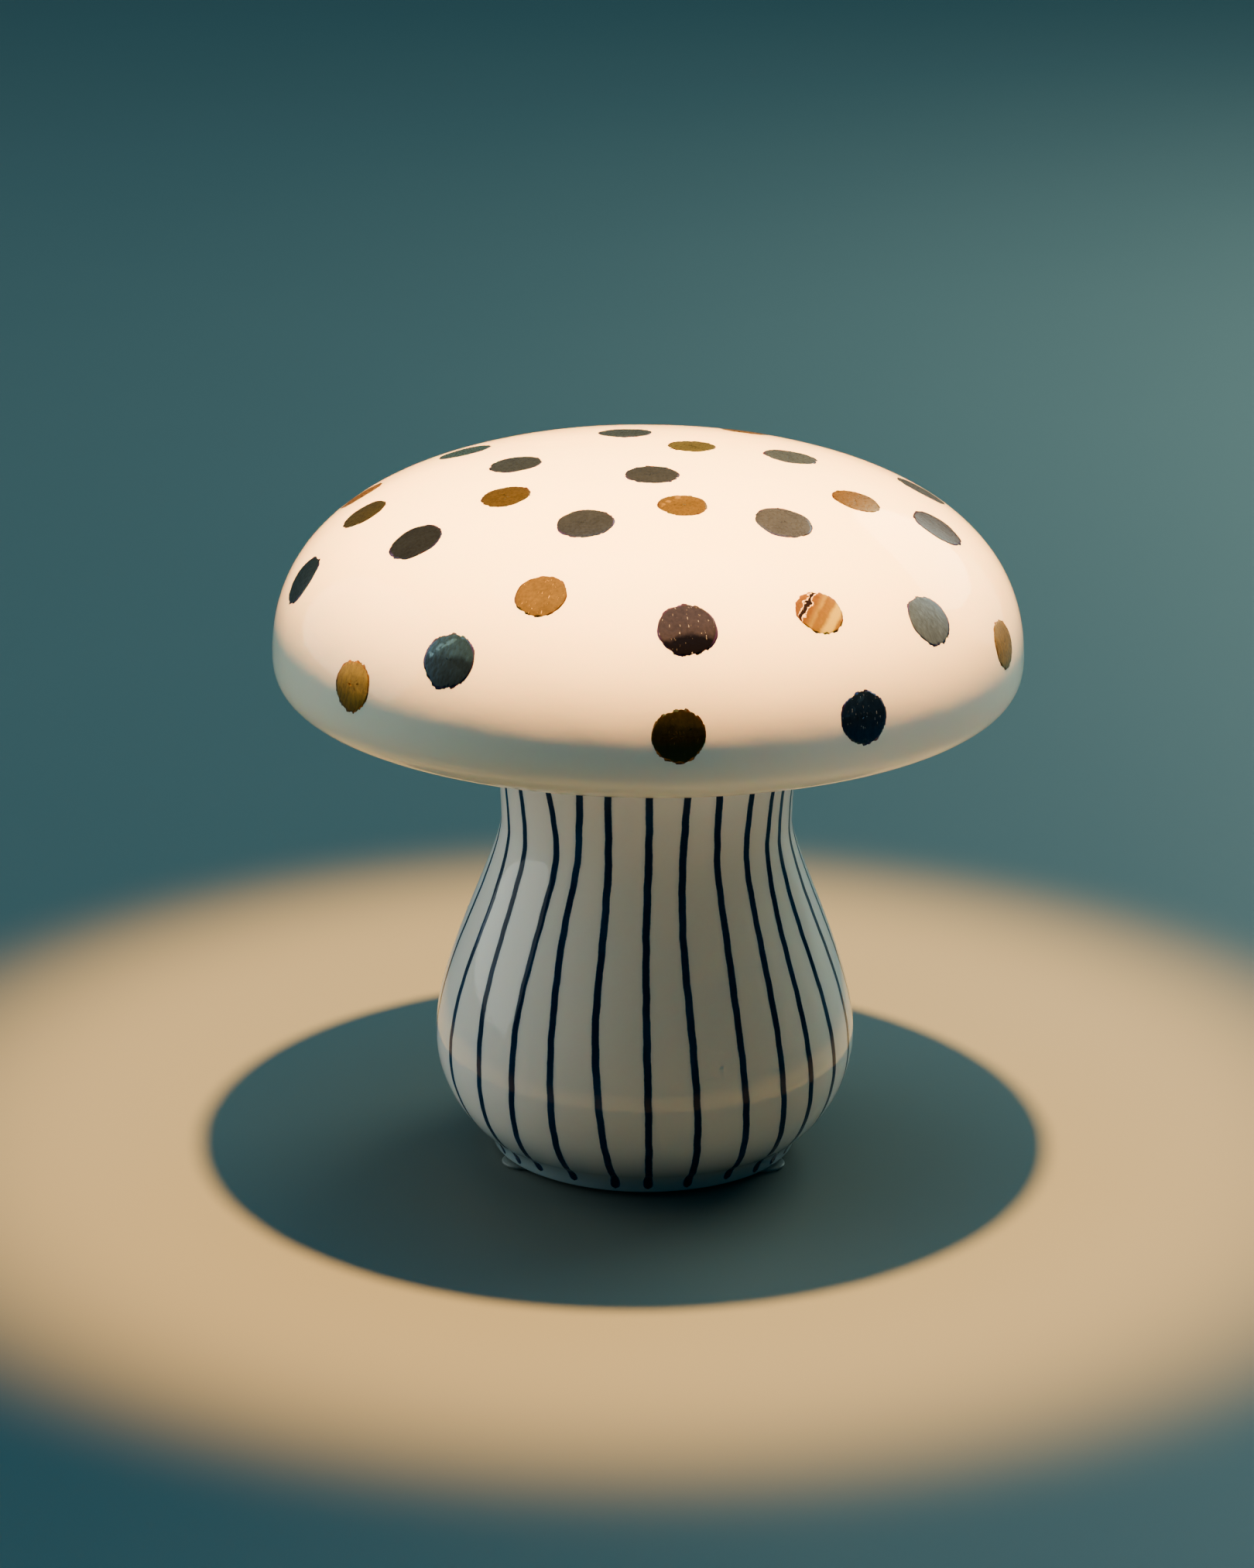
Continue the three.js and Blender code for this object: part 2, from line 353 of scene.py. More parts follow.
def stem_side():
    """The stem's outer line from the foot ring's lower face over its roll, up to the mouth's rim."""
    foot = (FOOT_RADIUS, FOOT_Z)
    roll_bulge = (FOOT_RADIUS + 0.5 * FOOT_ROLL, FOOT_Z + 0.9 * FOOT_ROLL)
    crease = (FOOT_RADIUS + 0.5 * FOOT_ROLL, FOOT_Z + 2 * FOOT_ROLL)
    roll = curve(ROLL_STEPS, foot, roll_bulge, crease)
    belly = curve(
        BELLY_STEPS,
        crease,
        (crease[0] + FOOT_SPREAD, crease[1] + FOOT_RISE),
        (SWELL_RADIUS, SWELL_Z - SWELL_BELOW),
        (SWELL_RADIUS, SWELL_Z),
    )
    shoulder = curve(
        SHOULDER_STEPS,
        (SWELL_RADIUS, SWELL_Z),
        (SWELL_RADIUS, SWELL_Z + SWELL_ABOVE),
        (NECK_RADIUS, NECK_Z - NECK_BELOW),
        (NECK_RADIUS, NECK_Z),
    )
    rim_z = MOUTH_Z - RIM_ROUND
    flare = curve(
        FLARE_STEPS,
        (NECK_RADIUS, NECK_Z),
        (NECK_RADIUS, NECK_Z + NECK_ABOVE),
        (MOUTH_RIM_RADIUS - MOUTH_LEAN, rim_z - MOUTH_BELOW),
        (MOUTH_RIM_RADIUS, rim_z),
    )
    return joined(softened(roll, belly, CREASE_REACH, CREASE_STEPS), shoulder, flare)


def stem_line(side):
    """The whole wall of the stem: recess, foot ring, outer side, rim, mouth, inner wall and floor. The inner
    wall is the outer side moved in by the wall's thickness, with every other point left out."""
    recess_z = FOOT_Z + FOOT_RECESS
    recess_radius = FOOT_RADIUS - FOOT_RING_WIDTH
    floor_z = recess_z + STEM_FLOOR
    mouth_foot = (MOUTH_RADIUS, MOUTH_Z - MOUTH_DEPTH)
    recess = curve(ROUND_STEPS, (0, recess_z), (recess_radius - FOOT_ROLL, recess_z))
    ring_inside = curve(ROUND_STEPS, recess[-1], (recess_radius, recess_z), (recess_radius, FOOT_Z))
    rim_outside = curve(
        ROUND_STEPS, side[-1], (MOUTH_RIM_RADIUS, MOUTH_Z), (MOUTH_RIM_RADIUS - RIM_ROUND, MOUTH_Z)
    )
    rim_inside = curve(
        ROUND_STEPS,
        (MOUTH_RADIUS + RIM_ROUND, MOUTH_Z),
        (MOUTH_RADIUS, MOUTH_Z),
        (MOUTH_RADIUS, MOUTH_Z - RIM_ROUND),
    )
    wall = offset(side, STEM_WALL)
    reach = (wall[:, 1] > floor_z + FLOOR_FILLET) & (side[:, 1] < NECK_Z)
    wall = wall[reach][::-2]
    corner = wall[-1]
    fillet = curve(ROUND_STEPS, corner, (corner[0], floor_z), (corner[0] - FLOOR_FILLET, floor_z))
    floor = curve(FLOOR_STEPS, fillet[-1], (0, floor_z))
    return joined(recess, ring_inside, side, rim_outside, rim_inside, [mouth_foot], wall, fillet, floor)


def cap_side():
    """The cap's outer line from its collar's lower end, out under it, round its rim and up to its crown."""
    collar = curve(
        COLLAR_STEPS, (COLLAR_RADIUS, COLLAR_Z + CAP_WALL / 2), (COLLAR_RADIUS, SEAT_Z - COLLAR_FILLET)
    )
    fillet = curve(
        ROUND_STEPS, collar[-1], (COLLAR_RADIUS, SEAT_Z), (COLLAR_RADIUS + COLLAR_FILLET, SEAT_Z)
    )
    third = (LOW_RADIUS - SEAT_RADIUS) / 3
    under = curve(
        UNDER_STEPS,
        (SEAT_RADIUS, SEAT_Z),
        (SEAT_RADIUS + third, SEAT_Z),
        (LOW_RADIUS - third, LOW_Z),
        (LOW_RADIUS, LOW_Z),
    )
    rim = curve(
        RIM_STEPS,
        (LOW_RADIUS, LOW_Z),
        (LOW_RADIUS + RIM_LEVEL, LOW_Z),
        (CAP_RADIUS, WIDE_Z - RIM_UPRIGHT),
        (CAP_RADIUS, WIDE_Z),
    )
    dome = curve(
        DOME_STEPS,
        (CAP_RADIUS, WIDE_Z),
        (CAP_RADIUS, WIDE_Z + DOME_UPRIGHT),
        (DOME_LEVEL, CAP_TOP_Z),
        (0, CAP_TOP_Z),
    )
    return joined(collar, fillet, under, rim, dome)


def cap_line(side):
    """The whole wall of the cap: inner crown, inner wall, bore, the collar's round lip and the outer side.
    The inner wall is the outer side moved in by the wall's thickness, with one point in three down to the
    bore."""
    wall = offset(side, CAP_WALL)[::-1]
    wall = np.concatenate([wall[:-BORE_POINTS:3], wall[-BORE_POINTS:]])
    inside, outside = wall[-1], side[0]
    middle = ((inside[0] + outside[0]) / 2, COLLAR_Z)
    lip_inside = curve(ROUND_STEPS, inside, (inside[0], COLLAR_Z), middle)
    lip_outside = curve(ROUND_STEPS, middle, (outside[0], COLLAR_Z), outside)
    return joined(wall, lip_inside, lip_outside, side)


class Dot(NamedTuple):
    """A dot of lustre: azimuth in degrees, length down the dome from the crown and radius in millimetres,
    and numbers from 0 to 1 for its metal. tone is its brightness, tint its share of the cooler colour, and
    gloss how far it is a mirror; tone and tint are set dot by dot partly to copy the reflections and shade
    that each dot shows from the camera's side, so they hold painted reflection and painted shade as well as
    the metal's
    own spread. fade is painted shade: how dark its lower part is, which starts the lower down the darker it
    is. The next two are how much shows of bright flecks, which are painted glints, and of a bright slanting
    band, which is a painted highlight, and wear is how ragged the edge is. A dot of full wear is cracked."""

    azimuth: float
    down: float
    radius: float
    tone: float
    tint: float = 0.3
    gloss: float = 0.4
    fade: float = 0
    glints: float = 0
    sheen: float = 0
    wear: float = 0.2


# Tone and tint of each dot are set partly to copy the reflections and shade it shows from the camera:
# painted reflection and painted shade as well as the metal's own spread.
PLATINUM_DOTS = [
    Dot(-166.5, 25.4, 6.5, 0.24, 0.8), Dot(-116, 50.3, 6.5, 0.3, 1), Dot(102, 34.5, 6.4, 0.4, 0.7),
    Dot(-84, 32, 6.4, 0.19, 0.7), Dot(2, 17.3, 6.3, 0.2, 0.6), Dot(38, 50.6, 6.8, 0.38, 0.5, glints=0.1),
    Dot(-18, 47.4, 6.6, 0.21, 0.6), Dot(78, 71.3, 6.6, 0.135, 0), Dot(-55, 67.1, 6.5, 0.1, 0.7, wear=0.6),
    Dot(-77, 90.4, 6.4, 0.1, 1), Dot(51, 88.9, 6.3, 0.44, 0.7, gloss=0.1, wear=0.5),
    Dot(6.4, 82.3, 6.7, 0.125, 0, gloss=0.1, fade=0.97, glints=0.5, wear=0.4),
    Dot(-31.6, 94, 6.5, 0.32, 1, fade=0.6, sheen=0.8, wear=0.3),
    Dot(33, 106.6, 6.2, 0.26, 1, gloss=0.9, glints=1, sheen=0.5, wear=0.8),
    Dot(-93, 107.4, 6.4, 0.1, 0.8), Dot(93, 108.2, 6.4, 0.15, 1), Dot(102.5, 68.9, 6.5, 0.3, 0.6),
    Dot(178, 52, 6.5, 0.3, 0.5), Dot(130, 72, 6.4, 0.2, 1, fade=0.5, sheen=0.5),
    Dot(-176, 77, 6.6, 0.25, 0.3, fade=0.8, glints=0.3), Dot(-124, 77, 6.5, 0.25, 0.6),
    Dot(125, 97, 6.3, 0.15, 0.9, wear=0.6), Dot(166, 96, 6.6, 0.45, 0.8),
    Dot(-150, 103, 6.4, 0.15, 0.6, glints=0.2, wear=0.7), Dot(-112, 97, 6.5, 0.25, 0.8, fade=0.5),
]
GOLD_DOTS = [
    Dot(131, 13.3, 5.7, 0.25, 1), Dot(-52, 42.5, 5.8, 0.17, 0.65), Dot(69, 52.3, 5.8, 0.27, 0.4, sheen=0.3),
    Dot(12, 37.1, 5.7, 0.31, 0.5, sheen=0.7), Dot(-82, 69.7, 5.8, 0.11, 1),
    Dot(-19.5, 74.7, 6, 0.26, 0.35, gloss=0.1, glints=1, wear=0.6),
    Dot(30, 80.8, 5.7, 0.14, 0, gloss=0, wear=1), Dot(69.5, 102.3, 5.8, 0.5, 0.4, fade=0.1),
    Dot(-49, 105.3, 6, 0.44, 0, fade=0.25, wear=0.5),
    Dot(4.5, 106.8, 6.1, 0.26, 0.5, gloss=0.9, fade=0.4, glints=0.3, wear=0.6),
    Dot(150, 47, 5.8, 0.26, 0.5), Dot(-145, 58, 5.8, 0.26, 0.6), Dot(155, 76, 5.9, 0.3, 0.2, glints=0.6),
    Dot(-150, 82, 5.7, 0.26, 0.6, fade=0.4), Dot(-101, 73, 5.8, 0.26),
    Dot(105, 93, 5.8, 0.36, 0.4, glints=0.3), Dot(146, 101, 6, 0.45, 0.2, fade=0.4),
    Dot(-170, 101, 5.8, 0.38, 0.4, sheen=0.5), Dot(-132, 98, 5.9, 0.48, 0.2, glints=0.4),
]


def lustre_dots(name, dots, dome, seed):
    """Thin round patches wrapped onto the dome. A patch is a flat disc on the tangent plane at its middle,
    out to an edge of radius * (1 + a few sines of the angle), moved to the nearest point of the dome's line.
    Its top stands up by DOT_EDGE + DOT_HEIGHT * (1 - share^8), and its underside lies DOT_SINK deep."""
    marks = {field: column[:, None, None] for field, column in zip(Dot._fields, np.array(dots).T)}
    azimuth, down, radius, wear = (marks[field] for field in ("azimuth", "down", "radius", "wear"))
    azimuth, down, radius = np.radians(azimuth), down * MM, radius * MM
    middle_radius, middle_z, run, rise = dome.at(dome.arc[-1] - down)
    angle = np.linspace(0, TURN, DOT_COLUMNS, endpoint=False)
    chance = np.random.default_rng(seed)
    edge = 1 + 0 * angle
    for waves, swing, ragged in EDGE_WAVES:
        start = chance.uniform(0, TURN, azimuth.shape)
        edge = edge + (swing + ragged * wear**4) * np.sin(waves * angle + start)
    share = np.concatenate([DOT_UNDERSIDE, DOT_TOP])[:, None]
    on_top = (np.arange(len(share)) >= len(DOT_UNDERSIDE))[:, None]
    lift = np.where(on_top, DOT_EDGE + DOT_HEIGHT * (1 - share**8), -DOT_SINK)
    across = share * edge * np.cos(angle)
    along = share * edge * np.sin(angle)
    x = middle_radius + along * radius * run
    y = across * radius
    z = middle_z + along * radius * rise
    arc = dome.nearest(np.hypot(x, y), z)
    points = dome.place(arc, azimuth + np.arctan2(y, x), lift)
    return solid(name, points, across=across, along=along, **{mark: marks[mark] for mark in Dot._fields[3:]})


# Azimuth in degrees of each painted line at these heights above the floor, in millimetres
LINE_HEIGHTS = (105.4, 85.4, 69.4, 47.4, 28.4, 7.0)
FRONT_LINES = [
    (-87, -85, -82, -83.5, -83, -84), (-71, -69, -66.3, -67, -66, -64),
    (-57, -54.8, -54, -52.8, -50.5, -53), (-41, -37, -38, -38.9, -38, -41),
    (-25, -27, -28.4, -27, -25.6, -26), (-14.4, -14.5, -14.2, -14, -12, -10),
    (1.1, 1.0, 0.3, 0.6, 1.2, 1.8), (15.6, 14.3, 12.8, 13.3, 14.3, 16.3),
    (28, 28.4, 28, 27.4, 28.2, 32), (44, 42.4, 41, 40, 40.5, 46),
    (57, 55, 51.5, 50.5, 51.4, 56), (65, 64.4, 61.8, 62.2, 63.5, 66),
    (76, 76.8, 74.5, 75.4, 75.5, 76), (87, 87, 85.4, 86, 87, 88),
]

# Lines on the back: how many, between which azimuths, and how far their knots stray. Every line starts at
# about the same height over the floor.
BACK_LINES = 13
BACK_FROM, BACK_TO = 87.5, 276.0
BACK_JITTER = 1.3
LINE_FOOT_Z = 2.3 * MM
LINE_FOOT_JITTER = 0.5 * MM


def through(knots, values, places):
    """A smooth curve through the values at rising knots: cubic in each span, with a slope at each knot that
    is the mean of those on its two sides, weighted for their widths."""
    slopes = np.gradient(values, knots, axis=-1)
    span = np.clip(np.searchsorted(knots, places, side="right") - 1, 0, len(knots) - 2)
    width = knots[span + 1] - knots[span]
    share = (places - knots[span]) / width
    start, end = values[..., span], values[..., span + 1]
    rise, fall = slopes[..., span] * width, slopes[..., span + 1] * width
    return (
        start * (1 + 2 * share) * (1 - share) ** 2
        + end * (3 - 2 * share) * share**2
        + rise * share * (1 - share) ** 2
        - fall * (1 - share) * share**2
    )


def sway(arc, waves, starts):
    """The sum of each wave's share of a sine of the length along the line."""
    return sum(share * np.sin(arc / reach + start) for (reach, share), start in zip(waves, starts))


def cobalt_lines(name, side, seed):
    """Brush lines up the stem, each a closed ribbon of lens section. At each length along the stem's side
    the ribbon's middle has an azimuth through the line's knots, plus the brush's tremble. Its half width
    swells with the press and in a bell over the foot, and starts there as a half circle."""
    chance = np.random.default_rng(seed)
    back_middles = np.linspace(BACK_FROM, BACK_TO, BACK_LINES + 2)[1:-1, None]
    back = back_middles + chance.uniform(-BACK_JITTER, BACK_JITTER, (BACK_LINES, len(LINE_HEIGHTS)))
    turns = np.radians(np.vstack([FRONT_LINES, back]))
    lines = len(turns)
    knots = side.arc_at_height(np.array(LINE_HEIGHTS[::-1]) * MM)
    foot = side.arc_at_height(LINE_FOOT_Z + chance.uniform(-1, 1, (lines, 1)) * LINE_FOOT_JITTER)
    crowded = (1 - np.cos(np.linspace(0, math.pi, LINE_ROWS))) / 2
    share = LINE_CROWDING * crowded + (1 - LINE_CROWDING) * np.linspace(0, 1, LINE_ROWS)
    arc = foot + (side.arc[-1] - foot) * share
    middle = np.stack(
        [through(knots, turn[::-1], np.clip(here, knots[0], knots[-1])) for turn, here in zip(turns, arc)]
    )
    starts = chance.uniform(0, TURN, (lines, 4)).T[:, :, None]
    radius = side.at(arc)[0]
    middle = middle + TREMBLE * sway(arc, TREMBLE_WAVES, starts[:2]) / radius
    press = 1 + PRESS * sway(arc, PRESS_WAVES, starts[2:])
    bulb = 1 + BULB_SHARE * np.exp(-(((arc - foot - BULB_UP) / BULB_REACH) ** 2))
    short = np.clip(1 - (arc - foot) / LINE_START, 0, 1)
    start = np.maximum(np.sqrt(1 - short**2), LINE_TIP)
    half = LINE_HALF_WIDTH * press * bulb * start
    section = np.linspace(0, TURN, LINE_COLUMNS, endpoint=False)[::-1]
    across, over = -np.cos(section), np.sin(section)
    lift = np.where(over > 0, LINE_HEIGHT * (1 - across**2), LINE_DEPTH * over) - LINE_SINK
    lift = lift * np.maximum(start, LINE_THIN)[:, :, None]
    azimuth = middle[:, :, None] + across * (half / radius)[:, :, None]
    return solid(name, side.place(arc[:, :, None], azimuth, lift), across=across)


def seat_ring(name):
    """The soft ring of L section: a rounded flange on the stem's rim and a sleeve inside the mouth."""
    low, high = ring_low.z, ring_high.z
    bore, sleeve, outer = COLLAR_RADIUS + COLLAR_GAP, MOUTH_RADIUS - SLEEVE_GAP, ring_high.x
    flange_low = MOUTH_Z + SEAT_GAP
    soft = RING_ROUND
    line = joined(
        curve(SMALL_STEPS, (bore, low + soft), (bore, low), (bore + soft, low)),
        curve(SMALL_STEPS, (sleeve - soft, low), (sleeve, low), (sleeve, low + soft)),
        curve(SMALL_STEPS, (sleeve, flange_low - soft), (sleeve, flange_low), (sleeve + soft, flange_low)),
        curve(ROUND_STEPS, (outer - soft, flange_low), (outer, flange_low), (outer, flange_low + soft)),
        curve(ROUND_STEPS, (outer, high - soft), (outer, high), (outer - soft, high)),
        curve(ROUND_STEPS, (bore + soft, high), (bore, high), (bore, high - soft)),
    )
    return solid(name, true_form(line, RING_COLUMNS), looped=True)


def foot_pad(name, node):
    """A clear domed pad: flat below and above, with a quarter round from the floor out to its widest edge
    and another from there up to its top."""
    low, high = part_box(node)
    wide = (high.x - low.x) / 2
    widest_z = low.z + PAD_WIDEST * (high.z - low.z)
    under, over = wide - PAD_UNDERCUT, wide - PAD_SHOULDER
    line = joined(
        curve(SMALL_STEPS, (PAD_MIDDLE, low.z), (under, low.z)),
        curve(PAD_LOW_STEPS, (under, low.z), (wide, low.z), (wide, widest_z)),
        curve(PAD_HIGH_STEPS, (wide, widest_z), (wide, high.z), (over, high.z)),
        curve(SMALL_STEPS, (over, high.z), (PAD_MIDDLE, high.z)),
    )
    return solid(name, true_form(line, PAD_COLUMNS, (low + high).xy / 2))


class Signal:
    """A number socket of a material's nodes. Each operator adds one Math node and gives its result."""

    def __init__(self, finish, socket):
        self.finish = finish
        self.socket = socket

    def math(self, operation, *values):
        return self.finish.node("Math", {"operation": operation}, dict(enumerate(values)))

    def __add__(self, other):
        return self.math("ADD", self, other)

    __radd__ = __add__

    def __mul__(self, other):
        return self.math("MULTIPLY", self, other)

    __rmul__ = __mul__

    def __sub__(self, other):
        return self.math("SUBTRACT", self, other)

    def __rsub__(self, other):
        return self.math("SUBTRACT", other, self)

    def __abs__(self):
        return self.math("ABSOLUTE", self)

    def bigger(self, other):
        return self.math("MAXIMUM", self, other)

    def sine(self):
        return self.math("SINE", self)

    def smooth(self, low, high):
        """0 where the signal is at low, 1 at high, and a smooth step between, whichever is the larger."""
        settings = {"interpolation_type": "SMOOTHSTEP"}
        if low < high:
            return self.finish.node("MapRange", settings, {"Value": self, "From Min": low, "From Max": high})
        return 1 - self.finish.node("MapRange", settings, {"Value": self, "From Min": high, "From Max": low})


class Finish:
    """A material in the making, with the Principled shader that its signals feed."""

    def __init__(self, name, **constants):
        self.material = bpy.data.materials.new(name)
        self.material.use_nodes = True
        self.tree = self.material.node_tree
        self.shader = self.tree.nodes["Principled BSDF"]
        self.place = self.node("TexCoord", output="Object").socket
        for socket, value in constants.items():
            self.shader.inputs[socket.replace("_", " ")].default_value = value

    def node(self, kind, settings=None, inputs=None, output=0):
        """Adds a shader node of that kind: its settings first, then the values or links of its sockets."""
        made = self.tree.nodes.new("ShaderNode" + kind)
        for setting, value in (settings or {}).items():
            setattr(made, setting, value)
        for socket, value in (inputs or {}).items():
            self.feed(made.inputs[socket], value)
        return Signal(self, made.outputs[output])

    def feed(self, socket, value):
        """Links a signal or a socket to the socket, or sets its value."""
        if isinstance(value, Signal):
            value = value.socket
        if isinstance(value, bpy.types.NodeSocket):
            self.tree.links.new(value, socket)
        else:
            socket.default_value = value

    def mix(self, share, low, high):
        """The colour low where share is 0, high where it is 1."""
        low, high = ((*c, 1) if isinstance(c, tuple) else c for c in (low, high))
        return self.node("Mix", {"data_type": "RGBA"}, {0: share, 6: low, 7: high}, output=2)

    def noise(self, scale, detail=2, stretch=(1, 1, 1)):
        """Noise between 0 and 1 on Object coordinates, scale its coarsest waves per metre."""
        place = self.node("VectorMath", {"operation": "MULTIPLY"}, {0: self.place, 1: stretch})
        return self.node("TexNoise", None, {"Vector": place, "Scale": scale, "Detail": detail})

    def specks(self, spacing, size):
        """1 in round specks of that size, one in each of fewer than half of the cells of that spacing, on
        Object coordinates."""
        cells = self.node("TexVoronoi", None, {"Vector": self.place, "Scale": 1 / spacing}, "Distance")
        chosen = self.node("TexVoronoi", None, {"Vector": self.place, "Scale": 1 / spacing}, "Color")
        pick = self.node("SeparateColor", None, {0: chosen}, 0)
        return cells.smooth(size / spacing, 0.4 * size / spacing) * pick.smooth(0.55, 0.6)

    def mark(self, name):
        """A number kept on the mesh's points."""
        return self.node("Attribute", {"attribute_name": name}, None, "Fac")

    def bump(self, height, depth):
        """Bump of that depth in metres where the height signal is 1."""
        return self.node("Bump", None, {"Strength": 1.0, "Distance": depth, "Height": height}, "Normal")

    def wear(self, **signals):
        """Feeds the shader's sockets and gives the material."""
        for socket, value in signals.items():
            self.feed(self.shader.inputs[socket.replace("_", " ")], value)
        return self.material


# Glaze: how light goes into it, how it shines, its warm and its cool white on each casting, the painted
# shade that darkens it to a teal grey towards the foot and the heights over which it does, and its pinholes
GLAZE = {"IOR": 1.5, "Subsurface_Weight": 0.35, "Subsurface_Radius": (1, 0.5, 0.3)}
GLAZE_SPECULAR, LINE_SPECULAR = 0.45, 0.1
GLAZE_ROUGHNESS, GLAZE_UNEVEN_ROUGHNESS = 0.035, 0.06
GLAZE_RELIEF = 0.22 * MM
CAP_DEPTH, STEM_DEPTH = 5 * MM, 3 * MM
CAP_WARM, CAP_COOL = (0.92, 0.89, 0.69), (0.9, 0.89, 0.72)
STEM_WARM, STEM_COOL = (0.83, 0.86, 0.86), (0.79, 0.84, 0.86)
FOOT_SHADE = (0.32, 0.42, 0.46)
FOOT_SHADE_LOW, FOOT_SHADE_HIGH = FOOT_Z + 1 * MM, FOOT_Z + 17 * MM
PINHOLE_SPACING, PINHOLE_SIZE, PINHOLE_BROWN = 16 * MM, 0.5 * MM, (0.22, 0.16, 0.1)

# Cobalt: where the line is thick, where it is thinner, and where it bleeds into the glaze
COBALT_THICK, COBALT_THIN, COBALT_BLEED = (0.001, 0.015, 0.052), (0.003, 0.04, 0.125), (0.005, 0.09, 0.2)

# Lustre: the colours of each metal, with the spark colour of its painted glints, the dark that a dim dot
# goes to, which also gives its painted shade, the colours of a cracked dot, and how far up the slant of a
# dot its band of sheen, a painted highlight, and its crack lie, as shares of the radius
GOLD = dict(
    warm=(0.6, 0.31, 0.025), cool=(0.3, 0.34, 0.1), rim=(0.1, 0.04, 0.015), spark=(0.6, 0.4, 0.07)
)
PLATINUM = dict(
    warm=(0.24, 0.22, 0.25), cool=(0.075, 0.21, 0.37), rim=(0.07, 0.035, 0.14), spark=(0.55, 0.55, 0.5)
)
LUSTRE_SPECULAR = 0.08
LUSTRE_RELIEF = 0.06 * MM
LUSTRE_DARK = (0.004, 0.004, 0.006)
CREAM, CRACK_LIP, CRACK_DARK = (0.32, 0.29, 0.02), (0.9, 0.75, 0.5), (0.008, 0.005, 0.004)
SHEEN_PLACE, CRACK_PLACE = 0.6, 0.56

# Silicone: milky for the seat ring, clear for the pads
MILKY, MILKY_CLOUD = (0.7, 0.68, 0.64), (0.76, 0.75, 0.71)
MILKY_DEPTH, MILKY_RELIEF = 2 * MM, 0.02 * MM
CLEAR, CLEAR_CLOUD = (0.6, 0.72, 0.72), (0.74, 0.82, 0.81)
CLEAR_IOR = 1.41


def glaze_colour(finish, warm, cool):
    """Glaze over pale clay: slow clouds from the warm to the cool white, and sparse brown pinholes. Towards
    the foot it darkens to a teal grey, which is painted shade. Gives the pinholes too."""
    clouds = finish.noise(14, 3)
    colour = finish.mix(clouds.smooth(0.35, 0.7), warm, cool)
    height = finish.node("SeparateXYZ", None, {0: finish.place}, "Z")
    # Painted shade: the glaze darkens to a teal grey towards the foot.
    colour = finish.mix(height.smooth(FOOT_SHADE_HIGH, FOOT_SHADE_LOW), colour, FOOT_SHADE)
    pinholes = finish.specks(PINHOLE_SPACING, PINHOLE_SIZE)
    return finish.mix(pinholes * 0.7, colour, PINHOLE_BROWN), pinholes


def glazed(finish, colour, pinholes):
    """The finish with that colour under the glaze's skin: long ripples, a fine unevenness and the dips of
    its pinholes, as bump, and a gloss that is a little clouded."""
    ripples = finish.noise(55, 1)
    skin = finish.noise(420, 2)
    relief = finish.bump(ripples + 0.12 * skin - 0.5 * pinholes, GLAZE_RELIEF)
    roughness = GLAZE_ROUGHNESS + GLAZE_UNEVEN_ROUGHNESS * finish.noise(30, 2)
    return finish.wear(Base_Color=colour, Roughness=roughness, Normal=relief)


def ceramic(name, warm, cool, depth):
    """Glazed clay between two whites, into which light goes that deep."""
    finish = Finish(name, Subsurface_Scale=depth, Specular_IOR_Level=GLAZE_SPECULAR, **GLAZE)
    return glazed(finish, *glaze_colour(finish, warm, cool))


def cobalt(name):
    """Cobalt under the stem's own glaze: dark in the middle of the line, bleeding blue at its edges."""
    finish = Finish(name, Subsurface_Scale=STEM_DEPTH, Specular_IOR_Level=LINE_SPECULAR, **GLAZE)
    ground, pinholes = glaze_colour(finish, STEM_WARM, STEM_COOL)
    ragged = 0.1 * (finish.noise(900, 3) - 0.5)
    across = abs(finish.mark("across")) + ragged
    density = finish.noise(160, 3, (1, 1, 0.3))
    core = finish.mix(density.smooth(0.4, 0.8), COBALT_THICK, COBALT_THIN)
    bleed = finish.mix(across.smooth(0.47, 0.59), core, COBALT_BLEED)
    return glazed(finish, finish.mix(across.smooth(0.57, 0.68), bleed, ground), pinholes)


